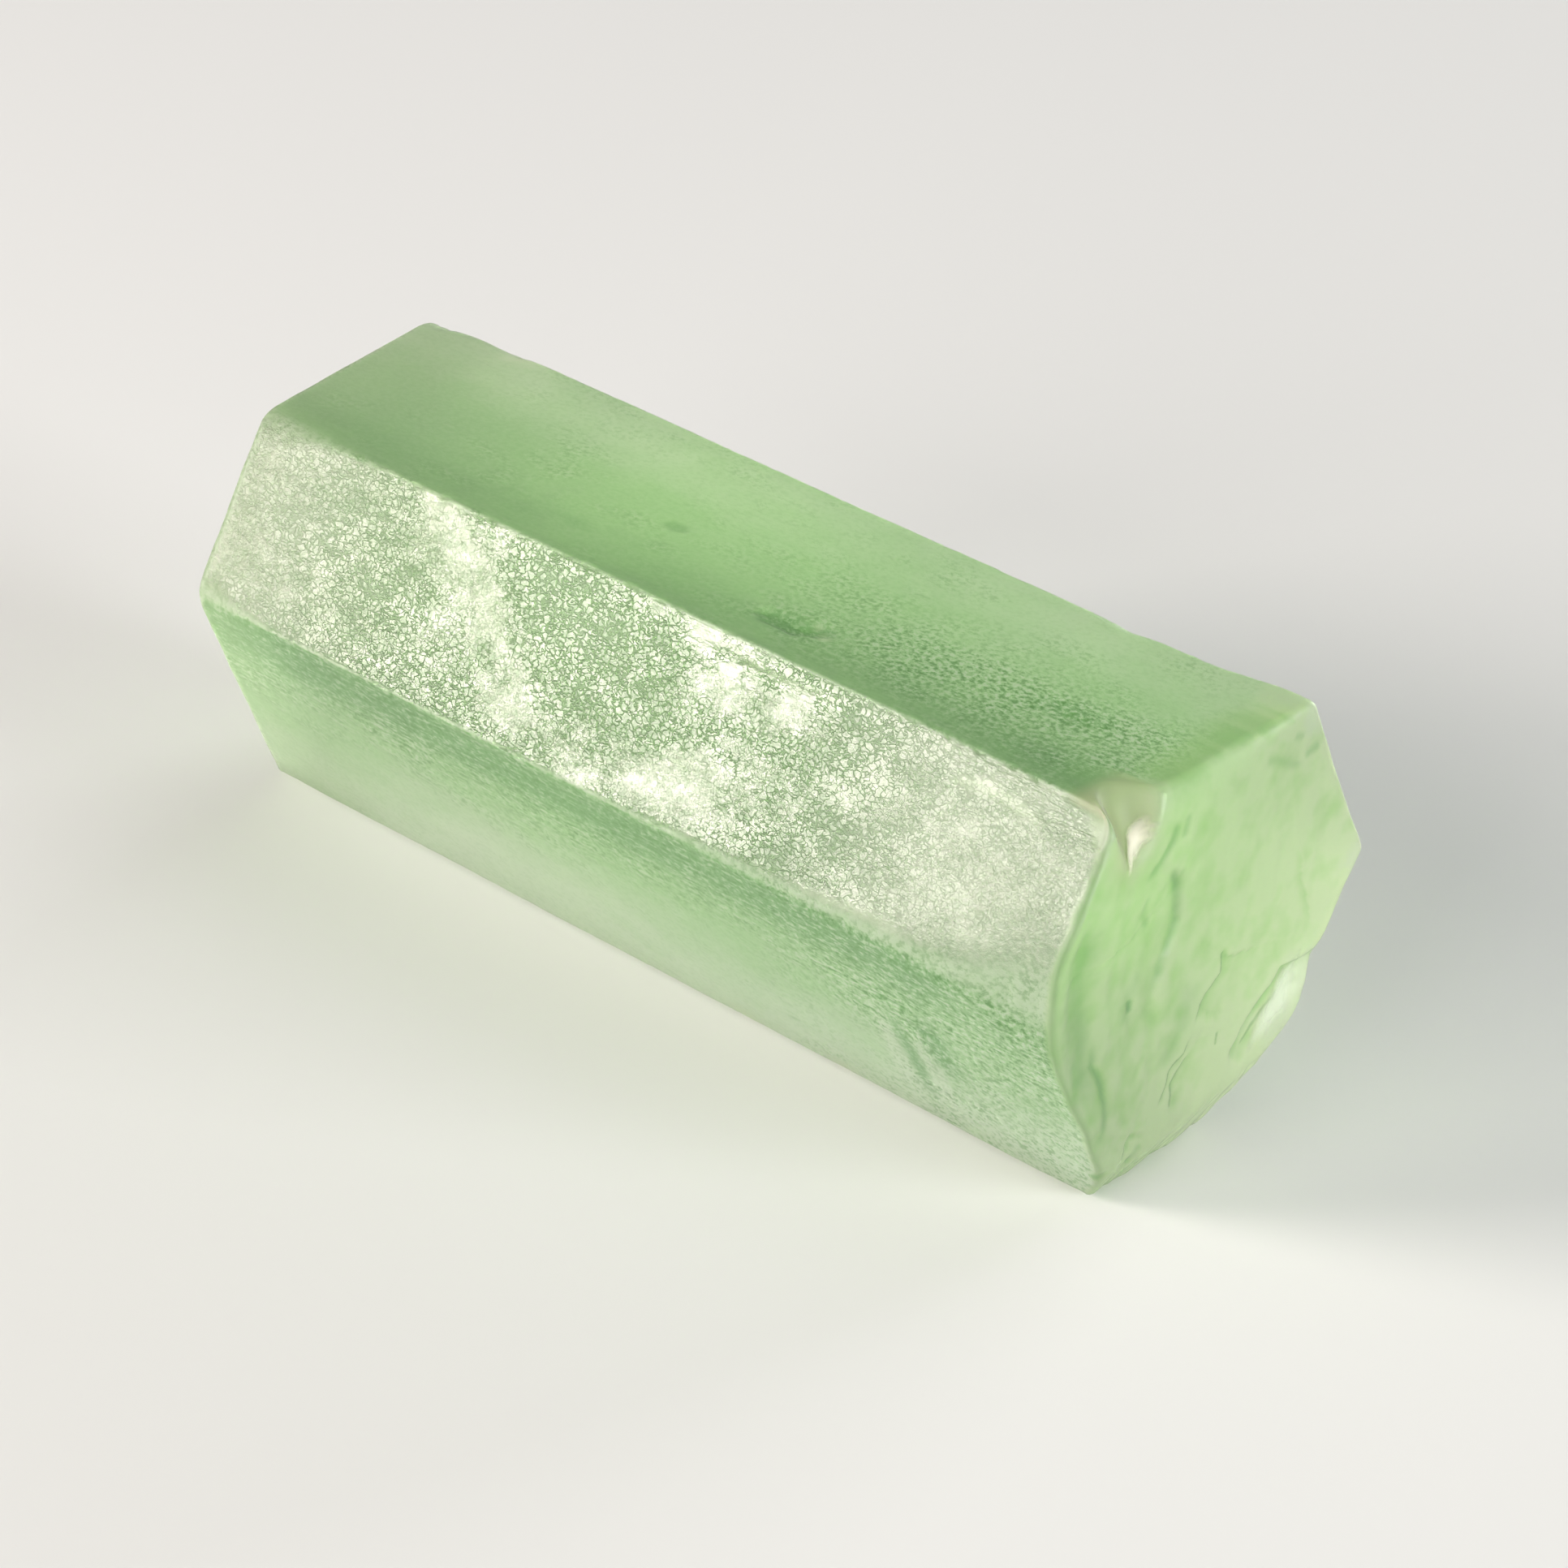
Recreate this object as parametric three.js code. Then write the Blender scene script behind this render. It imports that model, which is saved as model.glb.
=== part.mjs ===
import * as THREE from 'three';

// A loose beryl crystal: one six-sided prism, lying on one of its prism faces.
// Millimetres, +Z up. +X runs along the prism from its flat end to its broken end.
// The origin is on the surface that the crystal lies on, under the middle of its box.

// ---- Driving dimensions

// Length of the prism along its middle, from the flat end to the break.
const AXIS_LENGTH = 30;

// The faces meet at 120 degrees but grew to unequal widths. Four widths drive the section.
// The other two, the back lower face and the face it lies on, close the outline.
const FRONT_LOWER_WIDTH = 8.5;
const FRONT_UPPER_WIDTH = 5.15;
const TOP_WIDTH = 7.6;
const BACK_UPPER_WIDTH = 5.65;

// Etching has taken the sharpness off every ridge.
const RIDGE_RADIUS = 0.3;

// The ridge between the two front faces is worn round from mid length to the break.
const WORN_RIDGE_RADIUS = 1.6;
const WEAR_START = 0.45;

// The rims of the two ends are rounded a little too.
const RIM_RADIUS = 0.22;

// The flat end is a plane parting, a few degrees off square.
const FLAT_END_LEAN_ACROSS = -0.2;
const FLAT_END_LEAN_UP = 0.08;
const FLAT_END_SET = -0.85;

// Top ridge at the break: a low swelling, in height, reach along X and place along X.
const SWELLING = { height: 0.24, reach: 1.9, at: 29.2 };

// How finely the faces, ridges, length and ends are divided.
const FACE_STEPS = 6;
const RIDGE_STEPS = 4;
const LENGTH_STEPS = 34;
const BREAK_RINGS = 18;
const FLAT_END_RINGS = 4;

// ---- Cross-section

const TURN = THREE.MathUtils.degToRad(60);

// The faces in order, walked clockwise as seen from the broken end. The walk starts at the
// foot of the lower front face, which is y = 0, z = 0 until the crystal is centred.
const BACK_LOWER_WIDTH = FRONT_LOWER_WIDTH + FRONT_UPPER_WIDTH - BACK_UPPER_WIDTH;
const REST_WIDTH = TOP_WIDTH + BACK_UPPER_WIDTH - FRONT_LOWER_WIDTH;
const FACES = [
  { name: 'front_lower', width: FRONT_LOWER_WIDTH },
  { name: 'front_upper', width: FRONT_UPPER_WIDTH },
  { name: 'top', width: TOP_WIDTH },
  { name: 'back_upper', width: BACK_UPPER_WIDTH },
  { name: 'back_lower', width: BACK_LOWER_WIDTH },
  { name: 'rest', width: REST_WIDTH },
];

// Each face gets its heading, its start corner and its outward normal, as (y, z) vectors.
let corner = new THREE.Vector2(0, 0);
FACES.forEach((face, i) => {
  const heading = 2 * TURN - i * TURN;
  face.along = new THREE.Vector2(Math.cos(heading), Math.sin(heading));
  face.normal = new THREE.Vector2(-face.along.y, face.along.x);
  face.start = corner;
  corner = corner.clone().addScaledVector(face.along, face.width);
});
const TOP_HEIGHT = FACES[2].start.y;

// Nicks and worn corners: the face whose far ridge they are on, the place along X, how far
// they reach to either side, and how much rounder the ridge is there.
const NICKS = [
  { face: 'front_lower', at: -0.5, reach: 2.0, radius: 1.1 },
  { face: 'front_lower', at: 30.2, reach: 2.0, radius: 3.0 },
  { face: 'front_upper', at: -0.5, reach: 3.5, radius: 0.9 },
  { face: 'top', at: -0.8, reach: 1.8, radius: 1.4 },
  { face: 'top', at: 2.6, reach: 0.7, radius: 0.4 },
  { face: 'top', at: 24.4, reach: 0.8, radius: 0.4 },
  { face: 'rest', at: 29.6, reach: 0.8, radius: 0.2 },
  { face: 'back_lower', at: 29.6, reach: 1.6, radius: 0.5 },
  { face: 'back_upper', at: 11.0, reach: 0.9, radius: 0.7 },
];

// Radius of the ridge at the far side of a face, at place x.
function ridgeRadius(face, x) {
  let radius = RIDGE_RADIUS;
  if (face.name === 'front_lower') {
    const wear = THREE.MathUtils.smoothstep(x, WEAR_START * AXIS_LENGTH, AXIS_LENGTH);
    radius += wear * (WORN_RIDGE_RADIUS - RIDGE_RADIUS);
  }
  for (const nick of NICKS) {
    if (nick.face === face.name) {
      radius += nick.radius * Math.exp(-(((x - nick.at) / nick.reach) ** 2));
    }
  }
  return radius;
}

// The outline of the prism at place x, drawn in by inset all round.
function sectionOutline(x, inset) {
  const points = [];
  FACES.forEach((face, i) => {
    const before = FACES[(i + FACES.length - 1) % FACES.length];
    const startRadius = ridgeRadius(before, x);
    const endRadius = ridgeRadius(face, x);
    const startTrim = startRadius * Math.tan(TURN / 2);
    const endTrim = endRadius * Math.tan(TURN / 2);
    for (let k = 0; k < FACE_STEPS; k++) {
      const s = THREE.MathUtils.lerp(startTrim, face.width - endTrim, k / FACE_STEPS);
      points.push(face.start.clone().addScaledVector(face.along, s)
        .addScaledVector(face.normal, -inset));
    }
    const bend = face.start.clone().addScaledVector(face.along, face.width - endTrim)
      .addScaledVector(face.normal, -endRadius);
    for (let k = 0; k < RIDGE_STEPS; k++) {
      const angle = Math.atan2(face.normal.y, face.normal.x) - (TURN * k) / RIDGE_STEPS;
      points.push(new THREE.Vector2(
        bend.x + (endRadius - inset) * Math.cos(angle),
        bend.y + (endRadius - inset) * Math.sin(angle)));
    }
  });
  return points;
}

// ---- The two ends

function flatEnd(y, z) {
  return FLAT_END_SET + FLAT_END_LEAN_ACROSS * y + FLAT_END_LEAN_UP * z;
}

// The break is shell-like: several shallow scoops, and what is left is behind all of them.
// Each scoop is given by a point on it, its slopes, and its hollowness across and up.
const SCOOPS = {
  main: { x: 29.64, y: 4.6, z: 8.4, slope: [-0.04, 0.045], hollow: [0.008, 0.008] },
  front: { x: 30.1, y: -1.2, z: 7.4, slope: [-0.04, 0.05], hollow: [0.01, 0.01] },
  low: { x: 29.5, y: 4.6, z: 1.4, slope: [0.03, 0.02], hollow: [0.016, 0.016] },
  footChip: { x: 28.98, y: 3.4, z: 0.9, slope: [-0.12, 0.62], hollow: [0, 0] },
  cornerChip: { x: 29.3, y: -1.1, z: 11.8, slope: [-0.5, -0.45], hollow: [1.0, 0.06] },
};
const FOREMOST = 30.2;
const CREASE_SOFTNESS = 0.07;

// Under the top face the rim of the break is a wide soft shoulder, least near its back end.
const SHOULDER = { depth: 0.34, reach: 0.4, fadeFrom: 3.5, fadeTo: 5.7, fade: 0.7 };

// The foot corner is knocked off, and a flake stands out beside the lower back rim.
const FOOT = { depth: 0.12, reach: 0.5 };
const FLAKE = { y: 6.6, z: 3.5, height: 0.2, reach: 0.9 };

function scoopDepth(scoop, y, z) {
  const dy = y - scoop.y;
  const dz = z - scoop.z;
  const plane = scoop.x + scoop.slope[0] * dy + scoop.slope[1] * dz;
  return plane + scoop.hollow[0] * dy * dy + scoop.hollow[1] * dz * dz;
}

// The lowest of the scoops and the foremost plane, with softened creases between them.
function scooped(y, z) {
  const depths = Object.values(SCOOPS).map((scoop) => scoopDepth(scoop, y, z));
  depths.push(FOREMOST);
  const least = Math.min(...depths);
  const shares = depths.map((depth) => Math.exp((least - depth) / CREASE_SOFTNESS));
  return least - CREASE_SOFTNESS * Math.log(shares.reduce((sum, share) => sum + share, 0));
}

// The scoops, with the shoulder and the foot corner taken off and the flake added.
function brokenEnd(y, z) {
  const belowTop = Math.max(TOP_HEIGHT - z, 0);
  const kept = SHOULDER.fade * THREE.MathUtils.smoothstep(y, SHOULDER.fadeFrom, SHOULDER.fadeTo);
  const shoulder = SHOULDER.depth * Math.exp(-belowTop / SHOULDER.reach) * (1 - kept);
  const foot = FOOT.depth * Math.exp(-Math.hypot(y, z) / FOOT.reach);
  const fromFlake = Math.hypot(y - FLAKE.y, z - FLAKE.z) / FLAKE.reach;
  return scooped(y, z) - shoulder - foot + FLAKE.height * Math.exp(-fromFlake * fromFlake);
}

// Height added to the top ridge where the crystal swells near the break.
function swelling(x, y, z) {
  const ridge = FACES.find((face) => face.name === 'back_upper').start;
  const fade = Math.exp(-(((x - SWELLING.at) / SWELLING.reach) ** 2));
  const reach = Math.hypot(y - ridge.x, z - ridge.y) / SWELLING.reach;
  return SWELLING.height * fade * Math.exp(-reach * reach);
}

// ---- One closed mesh: rings of points from end to end, with a fan of rings over each end

// A ring of the sides, a share u of the way from the rim of one end to the rim of the other.
function sideRing(u, outline) {
  return outline.map((p) => {
    const back = flatEnd(p.x, p.y) + RIM_RADIUS;
    const front = brokenEnd(p.x, p.y) - RIM_RADIUS;
    const x = THREE.MathUtils.lerp(back, front, u);
    return new THREE.Vector3(x, p.x, p.y + swelling(x, p.x, p.y));
  });
}

// A ring of an end: its outline shrunk towards the middle by a scale.
function endRing(outline, middle, scale, endSurface) {
  return outline.map((p) => {
    const q = middle.clone().lerp(p, scale);
    const x = endSurface(q.x, q.y);
    return new THREE.Vector3(x, q.x, q.y + swelling(x, q.x, q.y));
  });
}

function crystalGeometry() {
  const middle = new THREE.Vector2(
    (FACES[1].start.x + FACES[4].start.x) / 2,
    TOP_HEIGHT / 2);
  const rings = [];

  const flatOutline = sectionOutline(0, RIM_RADIUS);
  for (let k = 1; k <= FLAT_END_RINGS; k++) {
    rings.push(endRing(flatOutline, middle, k / FLAT_END_RINGS, flatEnd));
  }
  for (let k = 0; k <= LENGTH_STEPS; k++) {
    const u = k / LENGTH_STEPS;
    rings.push(sideRing(u, sectionOutline(u * AXIS_LENGTH, 0)));
  }
  const brokenOutline = sectionOutline(AXIS_LENGTH, RIM_RADIUS);
  for (let k = BREAK_RINGS; k > 0; k--) {
    rings.push(endRing(brokenOutline, middle, k / BREAK_RINGS, brokenEnd));
  }

  const around = flatOutline.length;
  const points = rings.flat();
  const flatMiddle = points.length;
  points.push(new THREE.Vector3(flatEnd(middle.x, middle.y), middle.x, middle.y));
  const brokenMiddle = points.length;
  points.push(new THREE.Vector3(brokenEnd(middle.x, middle.y), middle.x, middle.y));

  const triangles = [];
  for (let i = 0; i < around; i++) {
    const j = (i + 1) % around;
    triangles.push(flatMiddle, i, j);
    for (let r = 0; r < rings.length - 1; r++) {
      const a = r * around;
      const b = a + around;
      triangles.push(a + i, b + i, b + j);
      triangles.push(a + i, b + j, a + j);
    }
    const end = (rings.length - 1) * around;
    triangles.push(brokenMiddle, end + j, end + i);
  }

  const geometry = new THREE.BufferGeometry().setFromPoints(points);
  geometry.setIndex(triangles);
  geometry.computeVertexNormals();
  return geometry;
}

// ---- The crystal, centred over the origin and lying on z = 0

const geometry = crystalGeometry();
geometry.computeBoundingBox();
const box = geometry.boundingBox;
geometry.translate(
  -(box.min.x + box.max.x) / 2,
  -(box.min.y + box.max.y) / 2,
  -box.min.z);

const beryl = new THREE.MeshStandardMaterial({ color: 0x9fc08f, roughness: 0.35, metalness: 0 });
const crystal = new THREE.Mesh(geometry, beryl);
crystal.name = 'beryl_crystal';

const group = new THREE.Group();
group.add(crystal);
export default group;
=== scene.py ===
"""A loose beryl crystal, frosted by etching, lying on a pale floor.

The crystal is one closed mesh. It has the CAD model's prism and break, with the finer relief
that etching and breaking leave: terraces, pits, nicks, ribs and steps. All shaping is in
millimetres, in the section's own coordinates, and is moved to the frame at the end.
"""
import itertools
import math
from types import SimpleNamespace

import bpy
import numpy as np
from mathutils import Matrix, Vector
from mathutils.geometry import delaunay_2d_cdt


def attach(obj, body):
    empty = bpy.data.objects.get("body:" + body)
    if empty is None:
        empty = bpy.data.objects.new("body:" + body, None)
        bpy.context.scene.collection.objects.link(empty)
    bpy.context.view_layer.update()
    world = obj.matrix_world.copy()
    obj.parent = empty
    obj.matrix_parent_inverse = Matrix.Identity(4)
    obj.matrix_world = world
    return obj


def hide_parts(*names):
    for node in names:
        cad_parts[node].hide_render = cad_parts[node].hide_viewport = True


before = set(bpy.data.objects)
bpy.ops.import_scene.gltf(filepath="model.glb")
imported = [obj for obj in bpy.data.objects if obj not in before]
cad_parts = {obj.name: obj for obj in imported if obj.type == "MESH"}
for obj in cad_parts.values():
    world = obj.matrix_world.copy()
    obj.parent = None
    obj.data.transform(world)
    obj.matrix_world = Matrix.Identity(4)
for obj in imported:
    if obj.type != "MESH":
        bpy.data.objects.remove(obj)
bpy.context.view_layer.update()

MM = 0.001
NODE = "beryl_crystal"

# ---- The prism, in millimetres, as the CAD model has it

AXIS_LENGTH = 30.0
FRONT_LOWER_WIDTH = 8.5
FRONT_UPPER_WIDTH = 5.15
TOP_WIDTH = 7.6
BACK_UPPER_WIDTH = 5.65
BACK_LOWER_WIDTH = FRONT_LOWER_WIDTH + FRONT_UPPER_WIDTH - BACK_UPPER_WIDTH
REST_WIDTH = TOP_WIDTH + BACK_UPPER_WIDTH - FRONT_LOWER_WIDTH
RIDGE_RADIUS = 0.3
WORN_RIDGE_RADIUS = 1.6
WEAR_START = 0.45
RIM_RADIUS = 0.22
FLAT_END_LEAN_ACROSS = -0.2
FLAT_END_LEAN_UP = 0.08
FLAT_END_SET = -0.85
SWELLING_HEIGHT = 0.24
SWELLING_REACH = 1.9
SWELLING_AT = 29.2

TURN = math.radians(60)

# Each face: its name, its width, how many steps divide it, and how many divide the ridge
# after it. The steps are finest where the etching is.
FACES = (
    ("front_lower", FRONT_LOWER_WIDTH, 64, 14),
    ("front_upper", FRONT_UPPER_WIDTH, 50, 5),
    ("top", TOP_WIDTH, 62, 5),
    ("back_upper", BACK_UPPER_WIDTH, 28, 5),
    ("back_lower", BACK_LOWER_WIDTH, 34, 5),
    ("rest", REST_WIDTH, 14, 5),
)
FACE_NAMES = [face[0] for face in FACES]

# Nicks in the ridges: face before the ridge, place along, half length, added radius.
NICKS = (
    ("front_lower", -0.5, 2.0, 1.1),
    ("front_lower", 30.2, 2.0, 3.0),
    ("front_upper", -0.5, 3.5, 0.9),
    ("top", -0.8, 1.8, 1.4),
    ("top", 2.6, 0.7, 0.4),
    ("top", 24.4, 0.8, 0.4),
    ("rest", 29.6, 0.8, 0.2),
    ("back_lower", 29.6, 1.6, 0.5),
    ("back_upper", 11.0, 0.9, 0.7),
)

# The flat end's rim falls away this much and over this reach.
FLAT_RIM_DEPTH = 0.18
FLAT_RIM_REACH = 0.3

# The break's scoops: a point on each (x, y, z), its slopes across and up, and how hollow it
# is across and up.
SCOOPS = {
    "main": (29.64, 4.6, 8.4, -0.04, 0.045, 0.008, 0.008),
    "front": (30.1, -1.2, 7.4, -0.04, 0.05, 0.01, 0.01),
    "low": (29.5, 4.6, 1.4, 0.03, 0.02, 0.016, 0.016),
    "foot_chip": (28.98, 3.4, 0.9, -0.12, 0.62, 0.0, 0.0),
    "corner_chip": (29.3, -1.1, 11.8, -0.5, -0.45, 1.0, 0.06),
}
FOREMOST = 30.2
CREASE_SOFTNESS = 0.07

# Under the top face the break's rim is a wide soft shoulder, and its foot corner is knocked off.
TOP_HEIGHT = (FRONT_LOWER_WIDTH + FRONT_UPPER_WIDTH) * math.sin(TURN)
SHOULDER_DEPTH = 0.34
SHOULDER_REACH = 0.4
FOOT_DEPTH = 0.12
FOOT_REACH = 0.5

# A flake stands out of the break beside its lower back rim: place (y, z), height and reach.
FLAKE_AT = (6.6, 3.5)
FLAKE_HEIGHT = 0.2
FLAKE_REACH = 0.9

# Ripples spread over the break from a place (y, z), and splinters stand round another.
RIPPLE_MIDDLE = (4.2, 7.2)
RIPPLE_SPACING = 0.75
RIPPLE_HEIGHT = 0.010
SPLINTER_MIDDLE = (0.6, 1.2)
SPLINTER_REACH = 1.2
SPLINTER_DEPTH = 0.12

# How uneven the break is, broadly and finely, and how deep the nicks along its rim are, with
# what is added towards its foot.
BREAK_WAVES = 0.06
BREAK_LUMPS = 0.030
RIM_NICK_DEPTH = 0.12
FOOT_NICK_DEPTH = 0.25
RIM_NICK_REACH = 0.4

# How far the break's lines wander, and how far their marks reach beside them.
LINE_WANDER = 0.18
CREASE_REACH = 0.16

# How finely the mesh is made: steps along the crystal and round its rims, and the spacing of
# the points on the ends. Those keep a share of it clear of the rim, and two points closer than
# SAME_PLACE are one.
LENGTH_STEPS = 240
RIM_STEPS = 4
BREAK_SPACING = 0.085
FLAT_END_SPACING = 0.2
RIM_GAP = 0.6
SAME_PLACE = 1e-7

# ---- Relief of the break, along lines (y, z) on it

# Steps: the line, how far the left of it stands over the right, or the right over the left
# where that is negative, how sharply it steps and how far it takes to level out.
BREAK_STEPS = (
    (((0.4, 9.7), (1.1, 8.8), (1.3, 7.8), (0.85, 6.9), (0.8, 5.7), (1.1, 4.6)), -0.22, 0.22, 1.0),
    (((-2.3, 9.5), (-2.1, 7.9), (-1.65, 6.4), (-1.6, 5.1), (-1.2, 4.4), (-1.0, 3.1)),
     -0.18, 0.45, 1.0),
    (((3.5, 6.1), (3.3, 5.9), (3.4, 5.4), (2.8, 5.15), (2.5, 4.7), (2.35, 4.3)), 0.10, 0.07, 0.7),
    (((2.65, 3.7), (2.1, 3.2), (1.9, 2.8), (1.95, 2.5), (1.8, 1.9)), 0.08, 0.07, 0.5),
    (((2.4, 4.3), (2.2, 3.7), (1.7, 3.35), (1.65, 2.9), (1.3, 2.3)), 0.08, 0.07, 0.4),
    (((8.0, 5.2), (7.2, 4.6), (5.9, 4.5), (4.9, 3.8), (4.3, 3.1), (3.8, 2.7)), 0.20, 0.12, 1.1),
    (((6.9, 4.1), (5.8, 3.9), (5.0, 3.2), (4.5, 2.6)), 0.05, 0.08, 0.4),
    (((3.5, 3.75), (3.45, 3.3)), 0.04, 0.07, 0.3),
    (((0.3, 2.3), (0.05, 1.75), (0.05, 0.9)), 0.10, 0.10, 0.5),
)

# Grooves: the line, the depth, the half width and how dark it is painted, as shade.
BREAK_GROOVES = (
    (((-2.35, 9.6), (-2.45, 8.0), (-2.4, 6.8), (-2.1, 5.3), (-1.5, 3.6)), 0.10, 0.42, 0.27),
    (((-1.68, 5.8), (-1.58, 5.0), (-1.25, 4.3), (-1.05, 3.2), (-1.0, 2.4)), 0.035, 0.11, 0.50),
    (((0.4, 9.7), (1.1, 8.8), (1.3, 7.8), (0.85, 6.9), (0.7, 6.0)), 0.03, 0.15, 0.45),
    (((1.15, 9.3), (1.0, 8.6)), 0.02, 0.10, 0.30),
    (((-0.2, 9.2), (-0.25, 8.5), (0.0, 7.9)), 0.03, 0.12, 0.25),
    (((-0.33, 6.25), (-0.33, 5.8)), 0.05, 0.13, 0.80),
    (((0.1, 6.9), (-0.4, 6.3), (-0.6, 5.4)), 0.02, 0.25, 0.20),
    (((0.62, 11.0), (0.5, 10.4), (0.1, 9.9), (-0.4, 9.5)), 0.05, 0.14, 0.40),
    (((1.0, 10.9), (0.9, 10.2)), 0.03, 0.12, 0.30),
    (((2.4, 5.9), (1.7, 4.4), (1.4, 3.4)), 0.02, 0.50, 0.22),
    (((5.1, 11.4), (5.5, 11.2)), 0.02, 0.12, 0.35),
    (((6.3, 10.8), (5.7, 10.6)), 0.03, 0.12, 0.40),
    (((5.9, 10.3), (4.6, 10.9), (4.1, 11.0)), 0.02, 0.14, 0.25),
    (((0.9, 1.6), (0.5, 1.1)), 0.04, 0.15, 0.30),
    (((1.2, 1.0), (0.6, 0.4)), 0.03, 0.12, 0.30),
)


def smoothstep(value, low, high):
    t = np.clip((value - low) / (high - low), 0, 1)
    return t * t * (3 - 2 * t)


def hump(value, middle, reach):
    return np.exp(-((value - middle) / reach) ** 2)


# Whole numbers that turn a cell's place and a seed into that cell's own slopes.
CELL_FACTORS = (73856093, 19349663, 83492791)
SEED_FACTOR = 2654435
MIX_FACTOR = 1103515245
MIX_SHIFT = 12345
NOISE_GAIN = 1.6


def lattice_noise(points, seed):
    """Smooth noise, about -1 to 1, at points with one value in each unit cell."""
    cell = np.floor(points).astype(np.int64)
    part = points - cell
    fade = part ** 3 * (part * (part * 6 - 15) + 10)
    total = np.zeros(len(points))
    for step in itertools.product((0, 1), repeat=3):
        at = cell + step
        mixed = np.bitwise_xor.reduce(at * CELL_FACTORS, axis=1) ^ seed * SEED_FACTOR
        slope = np.empty_like(part)
        for axis in range(3):
            mixed = (mixed * MIX_FACTOR + MIX_SHIFT) & 0x7FFFFFFF
            mixed = mixed ^ (mixed >> 11)
            slope[:, axis] = (mixed & 0xFFFFF) / 0x80000 - 1
        weight = np.prod(np.where(step, fade, 1 - fade), axis=1)
        total += weight * np.sum(slope * (part - step), axis=1)
    return total * NOISE_GAIN


def layered_noise(points, size, seed, layers=3):
    """Noise whose largest features are size across; size may differ by axis."""
    total = np.zeros(len(points))
    for layer in range(layers):
        total += lattice_noise(points * 2 ** layer / np.asarray(size), seed + layer) / 2 ** layer
    return total / (2 - 2 ** (1 - layers))


# ---- The prism's section


def face_frames():
    """For each face: its start corner, the way along it and its outward normal, as (y, z)."""
    frames = []
    corner = np.zeros(2)
    for index, (_, width, _, _) in enumerate(FACES):
        heading = 2 * TURN - index * TURN
        along = np.array((math.cos(heading), math.sin(heading)))
        frames.append((corner, along, np.array((-along[1], along[0]))))
        corner = corner + along * width
    return frames


FRAMES = face_frames()


def ridge_radius(name, x):
    radius = np.full_like(x, RIDGE_RADIUS)
    if name == "front_lower":
        wear = smoothstep(x, WEAR_START * AXIS_LENGTH, AXIS_LENGTH)
        radius += wear * (WORN_RIDGE_RADIUS - RIDGE_RADIUS)
    for face, at, reach, added in NICKS:
        if face == name:
            radius += added * hump(x, at, reach)
    return radius


def section(x):
    """Outlines at places x: their points and outward normals."""
    points, normals = [], []
    for index, (name, width, steps, ridge_steps) in enumerate(FACES):
        start, along, normal = FRAMES[index]
        radius = ridge_radius(name, x)
        start_trim = ridge_radius(FACE_NAMES[index - 1], x) * math.tan(TURN / 2)
        end_trim = radius * math.tan(TURN / 2)
        for k in range(steps):
            across = start_trim + (width - end_trim - start_trim) * k / steps
            points.append(start + across[:, None] * along)
            normals.append(np.broadcast_to(normal, (len(x), 2)))
        bend = start + (width - end_trim)[:, None] * along - radius[:, None] * normal
        for k in range(ridge_steps):
            angle = math.atan2(normal[1], normal[0]) - TURN * k / ridge_steps
            out = np.array((math.cos(angle), math.sin(angle)))
            points.append(bend + radius[:, None] * out)
            normals.append(np.broadcast_to(out, (len(x), 2)))
    return np.stack(points, 1), np.stack(normals, 1)


def face_share(normals, name):
    """How fully points belong to a face: 1 on it, falling to 0 half-way round its ridges."""
    facing = normals[:, 1:] @ FRAMES[FACE_NAMES.index(name)][2]
    return smoothstep(facing, math.cos(math.radians(28)), math.cos(math.radians(6)))


def across_face(points, name):
    start, along, _ = FRAMES[FACE_NAMES.index(name)]
    return (points[:, 1:] - start) @ along


def ridge_share(normals):
    """1 on the ridges, 0 on the faces."""
    shares = [face_share(normals, name) for name in FACE_NAMES]
    return 1 - np.max(shares, axis=0)


def rim_distance(y, z, faces=FACE_NAMES):
    """How far points of an end are inside the faces."""
    inside = []
    for name in faces:
        start, _, normal = FRAMES[FACE_NAMES.index(name)]
        inside.append((start[0] - y) * normal[0] + (start[1] - z) * normal[1])
    return np.min(inside, axis=0)


# ---- The two ends


def flat_end(y, z):
    """The parting that ends the crystal at the back: a plane with faint terraces."""
    at = np.column_stack((y, z, np.zeros_like(y)))
    terraces = layered_noise(at, (3.5, 1.6, 1), 21, 2) * 3
    terraces = np.floor(terraces) + smoothstep(terraces - np.floor(terraces), 0.4, 0.6)
    inward = 0.015 * (3 + terraces) + 0.02 * (1 + layered_noise(at, 2.0, 23, 3))
    inward += FLAT_RIM_DEPTH * np.exp(-np.maximum(rim_distance(y, z), 0) / FLAT_RIM_REACH)
    return FLAT_END_SET + FLAT_END_LEAN_ACROSS * y + FLAT_END_LEAN_UP * z + inward


def scoop_depths(y, z):
    depths = []
    for x0, y0, z0, across, up, hollow_across, hollow_up in SCOOPS.values():
        dy, dz = y - y0, z - z0
        depths.append(x0 + across * dy + up * dz + hollow_across * dy ** 2 + hollow_up * dz ** 2)
    depths.append(np.full_like(y, FOREMOST))
    return np.stack(depths)


def scooped(y, z):
    """The break's shape before its finer relief: the lowest scoop, with soft creases."""
    depths = scoop_depths(y, z)
    least = depths.min(axis=0)
    shares = np.exp((least - depths) / CREASE_SOFTNESS)
    return least - CREASE_SOFTNESS * np.log(shares.sum(axis=0))


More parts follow.
